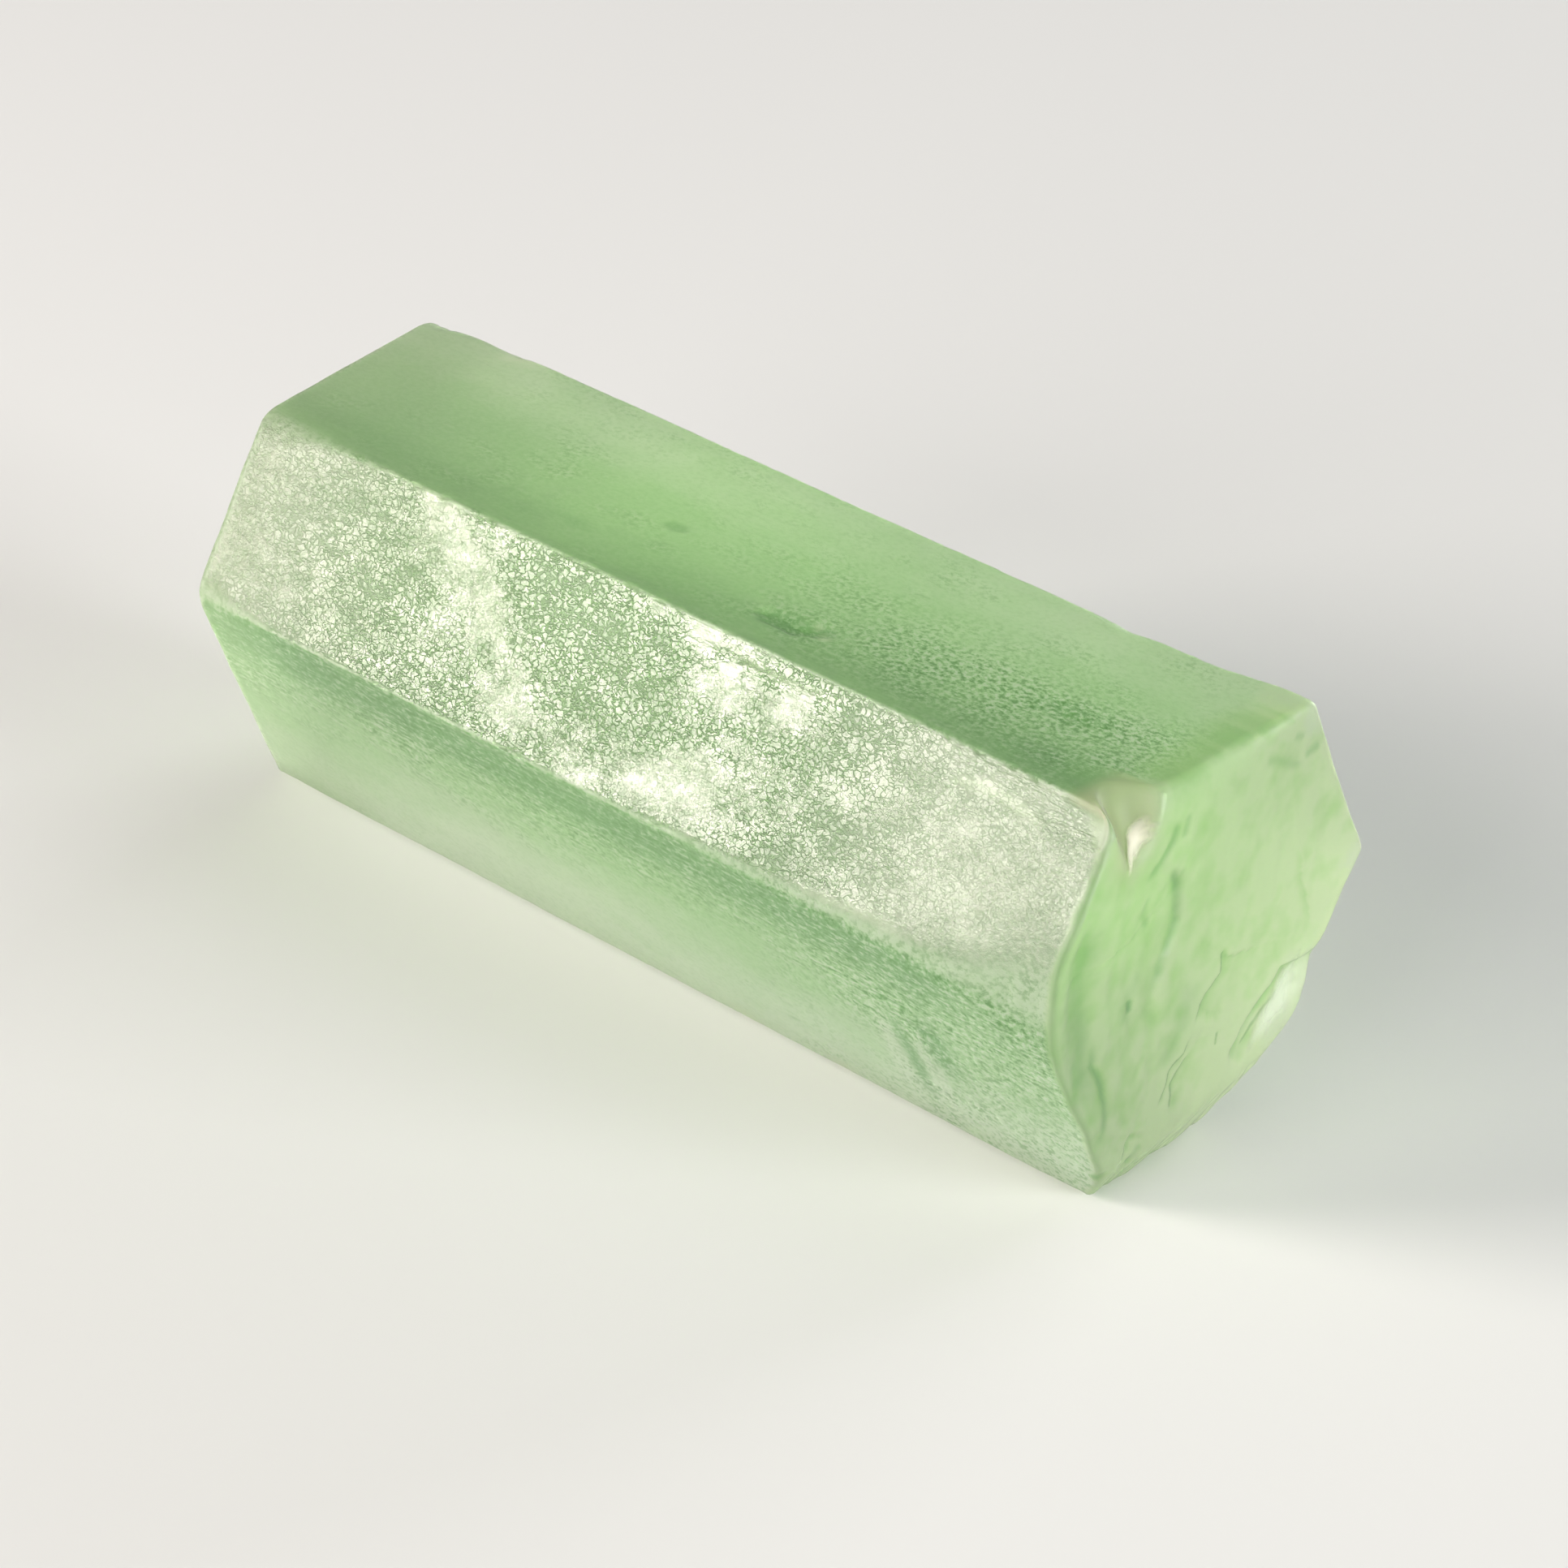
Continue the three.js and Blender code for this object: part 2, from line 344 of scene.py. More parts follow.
def beside_line(at, line):
    """For points (n, 2): the distance to a line, signed by side, and how near its tips."""
    nearest = np.full(len(at), np.inf)
    side = np.zeros(len(at))
    along = np.zeros(len(at))
    line = np.asarray(line)
    for k in range(len(line) - 1):
        way = line[k + 1] - line[k]
        t = np.clip((at - line[k]) @ way / (way @ way), 0, 1)
        off = at - line[k] - t[:, None] * way
        away = np.hypot(off[:, 0], off[:, 1])
        closer = away < nearest
        nearest = np.where(closer, away, nearest)
        side = np.where(closer, np.sign(way[0] * off[:, 1] - way[1] * off[:, 0]), side)
        along = np.where(closer, (k + t) / (len(line) - 1), along)
    fade = smoothstep(along, 0.0, 0.2) * smoothstep(1 - along, 0.0, 0.2)
    return nearest * side, fade


def wandering(y, z):
    """Points of the break for noise (n, 3), and for lines (n, 2), moved so that lines wander."""
    flat = np.column_stack((y, z, np.zeros_like(y)))
    wander = np.stack([layered_noise(flat, 1.1, seed, 3) for seed in (11, 12)], 1)
    return flat, flat[:, :2] + LINE_WANDER * wander


def line_relief(at):
    """How deep the steps and the grooves of the break are."""
    depth = np.zeros(len(at))
    for line, height, sharpness, reach in BREAK_STEPS:
        away, fade = beside_line(at, line)
        step = np.sign(height) * np.tanh(away / sharpness) * np.exp(-np.abs(away) / reach)
        depth += abs(height) * fade * (0.5 + 0.5 * step) * hump(away, 0, 2.5 * reach)
    for line, deep, half_width, _ in BREAK_GROOVES:
        away, fade = beside_line(at, line)
        depth += deep * fade * hump(away, 0, half_width)
    return depth


def break_relief(y, z):
    """How far the break lies behind its scoops: lines, ripples, lumps, splinters and nicks."""
    flat, at = wandering(y, z)
    depth = line_relief(at)
    distance = np.hypot(at[:, 0] - RIPPLE_MIDDLE[0], at[:, 1] - RIPPLE_MIDDLE[1])
    ripples = np.sin(2 * math.pi * distance / RIPPLE_SPACING)
    depth += RIPPLE_HEIGHT * (1 + ripples) * smoothstep(-at[:, 0], -1.2, 1.4)
    depth += BREAK_WAVES * (1 + layered_noise(flat, (1.3, 2.0, 1), 31, 3))
    lumpy = smoothstep(5.5 - z, -1.5, 2.0) + 0.8 * hump(np.hypot(y - 5.5, z - 10.8), 0, 1.3)
    lumpy += 1.5 * hump(np.hypot(y + 0.7, z - 10.9), 0, 1.0)
    lumps = 1 + layered_noise(flat, (0.5, 0.8, 1), 37, 2)
    depth += BREAK_LUMPS * lumps * np.clip(lumpy, 0.2, 1.5)
    splinters = np.abs(layered_noise(flat, (0.55, 0.8, 1), 41, 3))
    away = np.hypot(y - SPLINTER_MIDDLE[0], z - SPLINTER_MIDDLE[1])
    depth += SPLINTER_DEPTH * splinters * hump(away, 0, SPLINTER_REACH)
    nicks = np.maximum(layered_noise(flat, 0.9, 51, 3), 0)
    nick_depth = RIM_NICK_DEPTH + FOOT_NICK_DEPTH * smoothstep(3.0 - z, 0, 2)
    depth += nick_depth * nicks * hump(rim_distance(y, z), 0, RIM_NICK_REACH)
    shoulder = np.exp(-np.maximum(TOP_HEIGHT - z, 0) / SHOULDER_REACH)
    depth += SHOULDER_DEPTH * shoulder * (1 - 0.7 * smoothstep(y, 3.5, 5.7))
    depth += FOOT_DEPTH * np.exp(-np.hypot(y, z) / FOOT_REACH)
    depth -= FLAKE_HEIGHT * hump(np.hypot(y - FLAKE_AT[0], z - FLAKE_AT[1]), 0, FLAKE_REACH)
    return depth


def broken_end(y, z):
    return scooped(y, z) - break_relief(y, z)


def break_lines(y, z):
    """Shares from 0 to 1: how near the thin lines of the break are, and how dark its grooves are
    painted, as shade.
    """
    _, at = wandering(y, z)
    crease = np.zeros_like(y)
    for line, _, sharpness, _ in BREAK_STEPS:
        if sharpness < CREASE_REACH:
            away, fade = beside_line(at, line)
            crease = np.maximum(crease, fade * np.clip(1 - np.abs(away) / CREASE_REACH, 0, 1))
    shade = np.zeros_like(y)
    for line, _, half_width, darkness in BREAK_GROOVES:
        away, fade = beside_line(at, line)
        shade = np.maximum(shade, darkness * fade * hump(away, 0, half_width))
    return crease, shade


def hollowness(y, z, reach):
    """How far the break stands behind its own surroundings: over 0 in grooves and at the
    feet of steps, under 0 on crests."""
    around = np.zeros_like(y)
    for dy, dz in ((reach, 0), (-reach, 0), (0, reach), (0, -reach)):
        around += broken_end(y + dy, z + dz) / 4
    return around - broken_end(y, z)


def swelling(x, y, z):
    ridge = FRAMES[FACE_NAMES.index("back_upper")][0]
    fade = hump(x, SWELLING_AT, SWELLING_REACH)
    away = np.hypot(y - ridge[0], z - ridge[1]) / SWELLING_REACH
    return SWELLING_HEIGHT * fade * np.exp(-away * away)


# ---- The etching of the sides

# Pits on the faces: face, place along, place across, half length, half width, depth.
PITS = (
    ("top", 18.0, 1.45, 0.90, 0.45, 0.12),
    ("top", 18.9, 1.75, 0.50, 0.40, 0.10),
    ("top", 12.6, 3.2, 0.5, 0.25, 0.05),
    ("top", 26.0, 2.85, 0.16, 0.12, 0.09),
    ("top", 26.3, 3.05, 0.12, 0.10, 0.08),
    ("top", 25.7, 2.95, 0.12, 0.08, 0.08),
    ("top", 26.55, 2.8, 0.14, 0.10, 0.07),
    ("top", 25.4, 3.2, 0.10, 0.08, 0.06),
    ("top", 26.9, 3.1, 0.12, 0.08, 0.06),
    ("top", 25.1, 2.6, 0.20, 0.08, 0.05),
    ("front_lower", 25.1, 4.6, 0.6, 0.12, 0.05),
    ("front_lower", 24.2, 5.4, 0.7, 0.10, 0.05),
)


def pit_depth(points, normals):
    depth = np.zeros(len(points))
    wander = layered_noise(points, 0.5, 61, 2)
    for name, at, across, half_length, half_width, deep in PITS:
        away = np.hypot((points[:, 0] - at) / half_length,
                        (across_face(points, name) - across) / half_width)
        depth += deep * (1 - smoothstep(away + 0.35 * wander, 0.55, 1.1)) * face_share(normals, name)
    return depth


def beside_ridges(points, normals):
    """1 on the strips of the faces that have fine lines etched along the ridges."""
    near_break = 0.35 + 0.65 * smoothstep(points[:, 0], 14, 18)
    strip = smoothstep(across_face(points, "front_upper"), 3.9, 4.5) * near_break
    strip *= face_share(normals, "front_upper")
    beside_top = 0.5 * (1 - smoothstep(across_face(points, "top"), 0.3, 1.0))
    strip += face_share(normals, "top") * beside_top
    lower = 0.5 * smoothstep(across_face(points, "front_lower"), 3.2, 5.6)
    strip += face_share(normals, "front_lower") * lower
    return np.clip(strip, 0, 1)


# How deep the etching cuts: broad swells, hillocks, streaks, stairs and nicks in the ridges.
SWELL_DEPTH = 0.03
HILLOCK_DEPTH = 0.010
STREAK_DEPTH = 0.034
STAIR_DEPTH = 0.008
NICK_DEPTH = 0.32


def etch_relief(points, normals):
    """How deep the etching has cut each point of the sides, in from the true faces."""
    broad = layered_noise(points, (8, 2.2, 2.2), 71, 2)
    hills = layered_noise(points, (0.7, 0.45, 0.45), 81, 2)
    streaks = layered_noise(points, (4.0, 0.35, 0.35), 91, 2)
    stairs = layered_noise(points, (1.5, 1.1, 1.1), 101, 2) * 3
    stairs = np.floor(stairs) + smoothstep(stairs - np.floor(stairs), 0.35, 0.65)
    depth = SWELL_DEPTH * (1 + broad)
    depth += HILLOCK_DEPTH * (1 + hills)
    depth += STREAK_DEPTH * (1 + streaks) * (0.15 + beside_ridges(points, normals))
    depth += STAIR_DEPTH * (2 + stairs) * face_share(normals, "front_upper")
    nicks = np.maximum(layered_noise(points, (0.8, 0.7, 0.7), 111, 3) - 0.1, 0)
    depth += NICK_DEPTH * nicks * ridge_share(normals)
    return np.maximum(depth, 0) + pit_depth(points, normals)


# ---- The closed mesh


def side_rings():
    """Rings of points from one rim to the other, with their outward normals."""
    rim = [math.radians(90) * k / RIM_STEPS for k in range(RIM_STEPS)]
    u = np.linspace(0, 1, LENGTH_STEPS + 1)
    turns = np.array(rim + [math.radians(90)] * len(u) + rim[::-1])
    place = np.concatenate((np.zeros(RIM_STEPS), u, np.ones(RIM_STEPS)))
    inset = RIM_RADIUS * (1 - np.sin(turns))
    set_back = RIM_RADIUS * (1 - np.cos(turns))
    outline, normals = section(place * AXIS_LENGTH)
    outline = outline - normals * inset[:, None, None]
    y, z = outline[..., 0], outline[..., 1]
    back = flat_end(y.ravel(), z.ravel()).reshape(y.shape)
    front = broken_end(y.ravel(), z.ravel()).reshape(y.shape)
    back = back + np.where(place == 0, set_back, RIM_RADIUS)[:, None]
    front = front - np.where(place == 1, set_back, RIM_RADIUS)[:, None]
    x = back + (front - back) * place[:, None]
    lean = np.zeros(x.shape + (3,))
    lean[..., 0] = (np.where(place == 0, -1, 1) * np.cos(turns))[:, None]
    lean[..., 1:] = normals * np.sin(turns)[:, None, None]
    return np.stack((x, y, z), -1), lean


def fill_end(rim, spacing):
    """Triangles over an end, inside its rim (n, 2): the new points and the triangles."""
    low, high = rim.min(axis=0), rim.max(axis=0)
    row_height = spacing * math.sqrt(3) / 2
    rows = []
    for row in range(int((high[1] - low[1]) / row_height) + 1):
        start = low[0] + (row % 2) * spacing / 2
        y = np.arange(start, high[0], spacing)
        rows.append(np.stack((y, np.full_like(y, low[1] + row * row_height)), 1))
    grid = np.concatenate(rows)
    grid = grid[rim_distance(*grid.T) > RIM_RADIUS]
    edge = np.roll(rim, -1, axis=0) - rim
    length = np.hypot(edge[:, 0], edge[:, 1])
    outside = np.full(len(grid), -np.inf)
    for start, way, span in zip(rim, edge, length):
        away = grid - start
        outside = np.maximum(outside, (way[0] * away[:, 1] - way[1] * away[:, 0]) / span)
    grid = grid[outside < -spacing * RIM_GAP]
    corners = [Vector(p) for p in np.concatenate((rim, grid))]
    loop = [(k, (k + 1) % len(rim)) for k in range(len(rim))]
    _, _, triangles, sources, _, _ = delaunay_2d_cdt(corners, loop, [], 1, SAME_PLACE)
    order = [source[0] for source in sources]
    return grid, [[order[k] for k in triangle] for triangle in triangles]


def etched(points, normals):
    """Points of the sides moved in by the etching, less and less over the rims."""
    depth = etch_relief(points, normals) * smoothstep(1 - np.abs(normals[:, 0]), 0.3, 1)
    return points - normals * depth[:, None]


def crystal_shape():
    """All the crystal's points and normals in section millimetres, and its polygons."""
    rings, lean = side_rings()
    around = rings.shape[1]
    flat_grid, flat_triangles = fill_end(rings[0, :, 1:], FLAT_END_SPACING)
    break_grid, break_triangles = fill_end(rings[-1, :, 1:], BREAK_SPACING)
    side_normals = lean.reshape(-1, 3)
    side_points = etched(rings.reshape(-1, 3), side_normals)
    points = np.concatenate((
        side_points,
        np.column_stack((flat_end(*flat_grid.T), flat_grid)),
        np.column_stack((broken_end(*break_grid.T), break_grid))))
    normals = np.concatenate((
        side_normals,
        np.tile((-1.0, 0, 0), (len(flat_grid), 1)),
        np.tile((1.0, 0, 0), (len(break_grid), 1))))
    points[:, 2] += swelling(*points.T)

    polygons = []
    for ring in range(len(rings) - 1):
        a = ring * around
        b = a + around
        for i in range(around):
            j = (i + 1) % around
            polygons.append((a + i, b + i, b + j, a + j))
    first_flat = len(side_points)
    first_break = first_flat + len(flat_grid)
    last_ring = first_flat - around
    for triangle in flat_triangles:
        polygons.append([k if k < around else first_flat + k - around for k in triangle[::-1]])
    for triangle in break_triangles:
        polygons.append([last_ring + k if k < around else first_break + k - around
                         for k in triangle])
    return points, normals, polygons


# ---- What the finish needs to know of each point, as shares from 0 to 1


def end_share(points):
    """1 on the broken end, fading out behind its rim; 0 on the rest."""
    behind = points[:, 0] - broken_end(points[:, 1], points[:, 2])
    near_top = smoothstep(points[:, 2], TOP_HEIGHT - 1.0, TOP_HEIGHT)
    behind += (0.08 + 0.2 * near_top) * layered_noise(points, 0.8, 115, 3)
    return smoothstep(behind, -0.35 - 1.2 * near_top, -0.12)


# Where the shiny face is well kept, or badly where the amount is negative: place along,
# place across, half length, half width, amount.
SHINES = (
    (7.6, 4.9, 1.8, 0.6, 0.26),
    (8.9, 3.7, 1.2, 0.9, 0.32),
    (10.2, 2.5, 1.1, 0.9, 0.30),
    (11.8, 1.0, 1.2, 0.8, 0.32),
    (14.9, 0.4, 1.3, 0.45, 0.38),
    (17.6, 1.1, 1.7, 0.9, 0.40),
    (17.0, 3.7, 1.0, 0.7, 0.30),
    (19.6, 2.4, 2.0, 1.1, 0.12),
    (17.0, 4.95, 2.2, 0.30, 0.34),
    (18.2, 4.0, 0.9, 0.6, 0.30),
    (20.1, 4.1, 0.8, 0.7, 0.34),
    (23.0, 0.25, 1.0, 0.20, 0.50),
    (25.0, 0.35, 0.8, 0.15, 0.50),
    (13.4, 3.6, 2.2, 1.2, -0.22),
    (4.0, 3.0, 2.5, 2.0, -0.10),
)


# How much of the shiny face is left elsewhere, and how uneven that is, broadly and finely.
PLAIN_COVER = 0.37
BROAD_COVER = 0.25
FINE_COVER = 0.42


def plate_cover(points):
    """How much of the original shiny face is left between the grooves of the etching."""
    across = across_face(points, "front_upper")
    cover = PLAIN_COVER + BROAD_COVER * layered_noise(points, (2.2, 1.3, 1.3), 121, 3)
    cover += FINE_COVER * layered_noise(points, (0.7, 0.5, 0.5), 125, 3)
    for place, middle, half_length, half_width, amount in SHINES:
        away = np.hypot((points[:, 0] - place) / half_length, (across - middle) / half_width)
        cover += amount * hump(away, 0, 1)
    return np.clip(cover, 0, 1)


# The stain's tail below the corner chip, and the cleaner place at its top: y, z and reach.
STAIN_TAIL = (-1.15, 10.65, 0.75)
CLEAN_TOP = (0.2, 11.6, 0.6)


def near_place(points, place):
    y, z, reach = place
    return hump(np.hypot(points[:, 1] - y, points[:, 2] - z), 0, reach)


def chip_share(points):
    """1 in the corner chip at the break, 0 outside it."""
    depths = scoop_depths(points[:, 1], points[:, 2])
    chip = list(SCOOPS).index("corner_chip")
    others = np.delete(depths, chip, axis=0).min(axis=0)
    inside = smoothstep(others - depths[chip], -0.02, 0.3) * smoothstep(points[:, 0], 28.2, 29.0)
    inside = np.maximum(inside, 0.9 * near_place(points, STAIN_TAIL) * end_share(points))
    return inside * (1 - 0.5 * near_place(points, CLEAN_TOP))


# Bruises, whitened by knocks, and a painted highlight at the white point on the front rim of the
# break: middle x, y, z and reach.
BRUISES_AND_HIGHLIGHTS = (
    (2.6, 5.9, 11.8, 0.7),
    (29.0, 5.7, 11.9, 0.7),
    (29.7, 5.9, 11.6, 0.5),
    # Painted highlight: the white point on the front rim of the break.
    (29.75, -2.0, 11.3, 0.35),
    (19.3, -0.2, 11.8, 0.16),
    (19.05, 0.05, 11.8, 0.16),
    (18.7, 0.2, 11.8, 0.16),
    (17.2, 0.2, 0.3, 0.6),
    (20.5, 0.1, 0.2, 0.5),
    (29.2, 8.4, 6.8, 0.6),
    (29.6, 6.7, 4.0, 0.8),
    (29.5, 5.9, 3.0, 0.7),
)

# Bruised streaks on the upper front face: a line of places along and across, and half width.
STREAKS = (
    (((24.9, 4.15), (26.0, 4.38), (27.0, 4.36), (28.3, 4.1)), 0.13),
    (((17.0, 4.85), (19.5, 4.6), (21.5, 4.75)), 0.10),
    (((22.2, 0.2), (23.0, 0.25), (24.3, 0.4), (25.8, 0.42)), 0.12),
)


def bruises_and_highlights(points, normals):
    share = np.zeros(len(points))
    wander = 1 + 0.5 * layered_noise(points, 0.4, 151, 2)
    for x, y, z, reach in BRUISES_AND_HIGHLIGHTS:
        away = np.linalg.norm(points - (x, y, z), axis=1)
        share = np.maximum(share, 1 - smoothstep(away * wander, 0.4 * reach, 1.3 * reach))
    on_face = np.column_stack((points[:, 0], across_face(points, "front_upper")))
    for line, half_width in STREAKS:
        away, fade = beside_line(on_face, line)
        streak = 0.8 * fade * hump(away * wander, 0, half_width)
        share = np.maximum(share, streak * face_share(normals, "front_upper"))
    return share


# Soft patches on the lower front face: place along, half length, place across, half width.
PALE_CRACKS = (
    (23.3, 0.25, 3.0, 1.6),
    (24.5, 0.30, 2.8, 1.3),
)
DARK_GAPS = (
    (24.05, 0.25, 3.0, 1.5),
    (25.3, 0.5, 4.0, 1.1),
)
CRACK_LEAN = 0.05

# A knot of small pits on the top face: place along and across, half length and half width.
PIT_KNOT = (25.9, 3.05, 1.0, 0.4)


def soft_patches(patches, along, across):
    total = np.zeros_like(along)
    for middle, half_length, middle_across, half_width in patches:
        total += hump(along, middle, half_length) * hump(across, middle_across, half_width)
    return total


def read_skin(points, normals):
    """What the marks are worked out from: places, shares of the faces, and uneven patches."""
    x, y, z = points.T
    across_top = across_face(points, "top")
    knot_x, knot_across, half_length, half_width = PIT_KNOT
    from_knot = np.hypot((x - knot_x) / half_length, (across_top - knot_across) / half_width)
    return SimpleNamespace(
        points=points,
        normals=normals,
        x=x,
        y=y,
        z=z,
        broken=end_share(points),
        upper=face_share(normals, "front_upper"),
        lower=face_share(normals, "front_lower"),
        top=face_share(normals, "top"),
        ridge=ridge_share(normals),
        across_lower=across_face(points, "front_lower"),
        across_top=across_top,
        far=1 - smoothstep(x, 2, 9),
        broad=layered_noise(points, (5, 2.4, 2.4), 131, 3),
        small=layered_noise(points, (1.2, 0.8, 0.8), 135, 3),
        hollow=hollowness(y, z, 0.2) + 0.5 * hollowness(y, z, 0.5),
        knot=hump(from_knot, 0, 1))


def paleness(skin):
    """Painted highlight on ridges and on the break's crests, and painted glow towards the back of
    the top face, along the foot of the lower front face and over the back and the foot of the break;
    the cracks are pale of their own.
    """
    leaning = skin.x - CRACK_LEAN * skin.across_lower
    cracks = soft_patches(PALE_CRACKS, leaning, skin.across_lower)
    pale = 0.45 + 0.40 * skin.broad + 0.25 * skin.small
    # Painted glow: the top face paler towards ridge B, darker towards ridge A.
    pale += skin.top * (0.70 * smoothstep(skin.across_top, 3.0, 7.0) - 0.50 - 0.2 * skin.far)
    # Painted glow: the lower front face paler towards ridge E, darker towards ridge F; its cracks
    # are pale of their own.
    pale += skin.lower * (0.60 - 1.05 * smoothstep(skin.across_lower, 1.5, 6.5) - 0.6 * skin.far)
    pale += skin.lower * (1.6 * cracks - 0.35 * smoothstep(skin.x, 12, 26) - 0.13)
    # Painted glow along ridge E.
    pale += skin.lower * 0.35 * hump(skin.across_lower, 0.5, 1.0)
    off_rims = smoothstep(1 - np.abs(skin.normals[:, 0]), 0.3, 1)
    # Painted highlight along the ridges.
    pale += (1 - skin.broken) * 0.3 * skin.ridge * off_rims
    # Painted highlight on the break's crests and painted shade in its hollows.
    pale += skin.broken * (0.13 - 9 * skin.hollow + 0.60 * skin.small)
    # Painted glow towards the back and the foot of the break.
    pale += skin.broken * 0.32 * smoothstep(skin.y, -0.5, 3.5)
    pale += skin.broken * 0.3 * smoothstep(4.0 - skin.z, 0, 2)
    return np.clip(pale, 0, 1)


def darkness(skin, shade):
    """Painted shade in pits and grooves, in bands beside two ridges and in the break's hollows,
    along its rim and under its top; with dark blotches and gaps besides.
    """
    beside_ridge = hump(skin.across_top, 0.9, 1.0)
    # Painted shade in the pits, and in the knot of small pits below.
    dark = np.clip(pit_depth(skin.points, skin.normals) / 0.08, 0, 1)
    # Painted shade in a band beside ridge A on the top face, deepest near the break.
    dark += skin.top * beside_ridge * (0.30 + 0.35 * skin.broad)
    dark += skin.top * (0.35 * hump(skin.x, 27.0, 2.2) * beside_ridge + 0.8 * skin.knot)
    dark += skin.top * 0.25 * hump(skin.x, 5.5, 3.0) * hump(skin.across_top, 3.6, 1.6)
    blotches = hump(skin.x, 10.5, 4.0) * hump(skin.across_top, 1.7, 1.3)
    dark += skin.top * 0.7 * np.maximum(skin.small, 0) * blotches
    # Painted shade in a band beside ridge F on the lower front face.
    band = hump(skin.across_lower, 7.5, 1.2) * (1 - 0.7 * smoothstep(skin.x, 25, 28.5))
    dark += skin.lower * band * (1.0 + 0.35 * skin.broad)
    dark += skin.lower * 1.1 * soft_patches(DARK_GAPS, skin.x, skin.across_lower)
    dark += skin.lower * 0.35 * (1 - smoothstep(skin.x, 0, 5)) + 0.18 * skin.upper * skin.far
    # Painted shade on the break: in its hollows and grooves, where its rim turns, along its rim with
    # the front faces, and under its top.
    facing = skin.normals[:, 0]
    turning = smoothstep(facing, 0.1, 0.4) * (1 - smoothstep(facing, 0.85, 1.0))
    turning *= 1 - smoothstep(skin.y, -1.5, 0.5)
    from_front = np.maximum(rim_distance(skin.y, skin.z, FACE_NAMES[:2]), 0)
    below_top = np.exp(-np.maximum(TOP_HEIGHT - skin.z, 0) / 0.6)
    dark += skin.broken * (np.clip(5 * skin.hollow - 0.1, 0, 0.4) + shade + 0.3 * turning)
    dark += skin.broken * 0.18 * np.exp(-from_front / 0.9)
    dark += skin.broken * 0.25 * below_top * hump(skin.y, 2.0, 2.2)
    return np.clip(dark, 0, 0.9)


def grittiness(skin):
    """High where the etching is coarse, low on the break and on the smooth ends of faces."""
    fine = layered_noise(skin.points, (0.8, 0.5, 0.5), 137, 2)
    grit = 0.45 + 0.4 * layered_noise(skin.points, (3.0, 1.5, 1.5), 141, 2) + 0.35 * fine
    hidden = np.clip(1 - skin.upper - skin.lower - skin.top, 0, 1) * (1 - skin.ridge)
    grit -= 0.15 * hidden
    rubbed = hump(skin.across_top, 2.6, 1.7) * smoothstep(skin.x, 15, 21)
    grit += skin.top * (0.9 * rubbed - 0.35 + 0.9 * skin.knot)
    grit -= skin.top * 0.15 * (1 - smoothstep(skin.x, 1, 7))
    grit += skin.lower * (0.7 * smoothstep(skin.across_lower, 3.0, 6.5) - 0.45)
    grit += skin.lower * 0.60 * smoothstep(skin.x, 19, 25)
    return np.clip(grit, 0.1, 1) * (1 - 0.97 * skin.broken)


def surface_marks(points, normals):
    """Every mark of the skin by name, one value for each point."""
    skin = read_skin(points, normals)
    crease, shade = break_lines(skin.y, skin.z)
    return {
        "broken": skin.broken,
        "plates": skin.upper * (1 - skin.broken),
        "cover": plate_cover(points),
        "matte": smoothstep(skin.x, 19.0, 26.0) + 0.85 * skin.far,
        "crease": skin.broken * crease,
        "streaks": beside_ridges(points, normals) * (1 - skin.broken),
        "pale": paleness(skin),
        "dark": darkness(skin, shade),
        "grit": grittiness(skin),
        "stain": chip_share(points) + 0.2 * (1 - smoothstep(skin.x, 0, 5)),
        "bruise_and_highlight": bruises_and_highlights(points, normals),
    }


def smooth_object(name, points, polygons):
    mesh = bpy.data.meshes.new(name)
    mesh.from_pydata((points * MM).tolist(), [], polygons)
    mesh.polygons.foreach_set("use_smooth", [True] * len(mesh.polygons))
    made = bpy.data.objects.new(name, mesh)
    bpy.context.scene.collection.objects.link(made)
    return made


def build_crystal():
    """The crystal, and the place in the section's coordinates that is the frame's origin."""
    points, normals, polygons = crystal_shape()
    origin = (points.min(axis=0) + points.max(axis=0)) / 2
    origin[2] = points[:, 2].min()
    crystal = smooth_object("beryl", points - origin, polygons)
    for name, values in surface_marks(points, normals).items():
        attribute = crystal.data.attributes.new(name, "FLOAT", "POINT")
        attribute.data.foreach_set("value", np.ascontiguousarray(values, dtype=np.float32))
    return crystal, origin


# ---- White sheets: thin lenses close over the break, the painted highlight on the chip's crest and a healed crack's film

# Each sheet: its middle (y, z) on the break, its half length and half width, its turn in
# degrees, its bend, and how far it stands over the break.
WHITE_SHEETS = {
    # Painted highlight: a white sheet over the crest of the corner chip.
    "crest_highlight": ((-0.72, 10.70), (0.80, 0.26), 41, -0.1, 0.06),
    "flake_film": ((5.8, 3.65), (1.40, 0.45), 57, 0.0, 0.03),
}
SHEET_THICKNESS = 0.02
SHEET_RINGS = 6
SHEET_SIDES = 56

# How ragged a sheet's outline is: the waves around it, and their heights.
SHEET_WAVES = ((3, 0.12), (7, 0.08))


